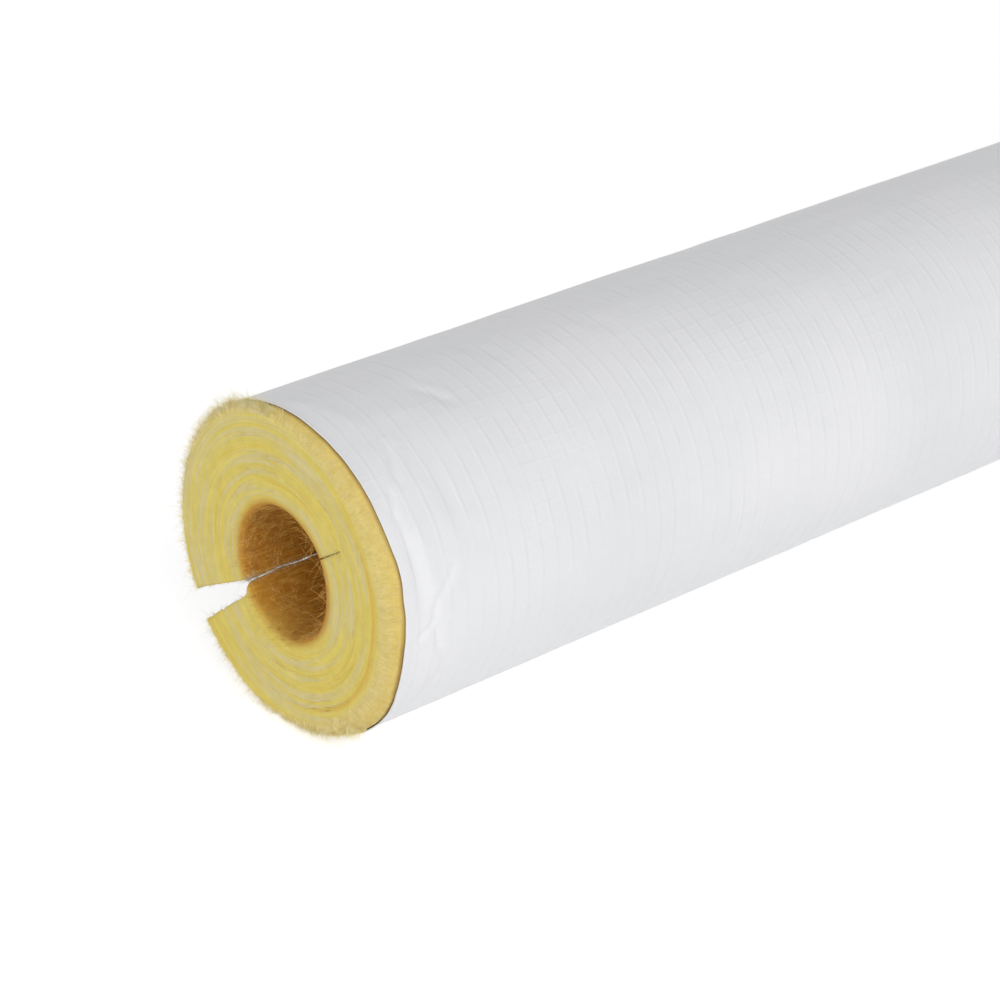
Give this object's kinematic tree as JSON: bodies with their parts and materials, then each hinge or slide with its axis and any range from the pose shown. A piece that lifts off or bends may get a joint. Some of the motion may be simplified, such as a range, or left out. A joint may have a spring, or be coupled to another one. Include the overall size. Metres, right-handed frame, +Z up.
{
  "type": "pipe insulation section",
  "caption": "Straight length of slit glass wool pipe insulation with a white scrim laminate jacket and a folded-back closing lap.",
  "frame": {"origin": "on the floor under the middle of the tube's length and of its width", "axes": "+X along the tube's axis, +Z up, the open slit faces +Y and down, the hinge cut faces -Y and up"},
  "size_m": [0.9144, 0.0908, 0.0897],
  "materials": {
    "glass_wool": "matte yellow layered glass wool",
    "white_laminate": "satin white film-faced laminate with reinforcing scrim"
  },
  "bodies": {
    "root": {"glass_wool_tube": "glass_wool", "jacket": "white_laminate"}
  },
  "joints": []
}
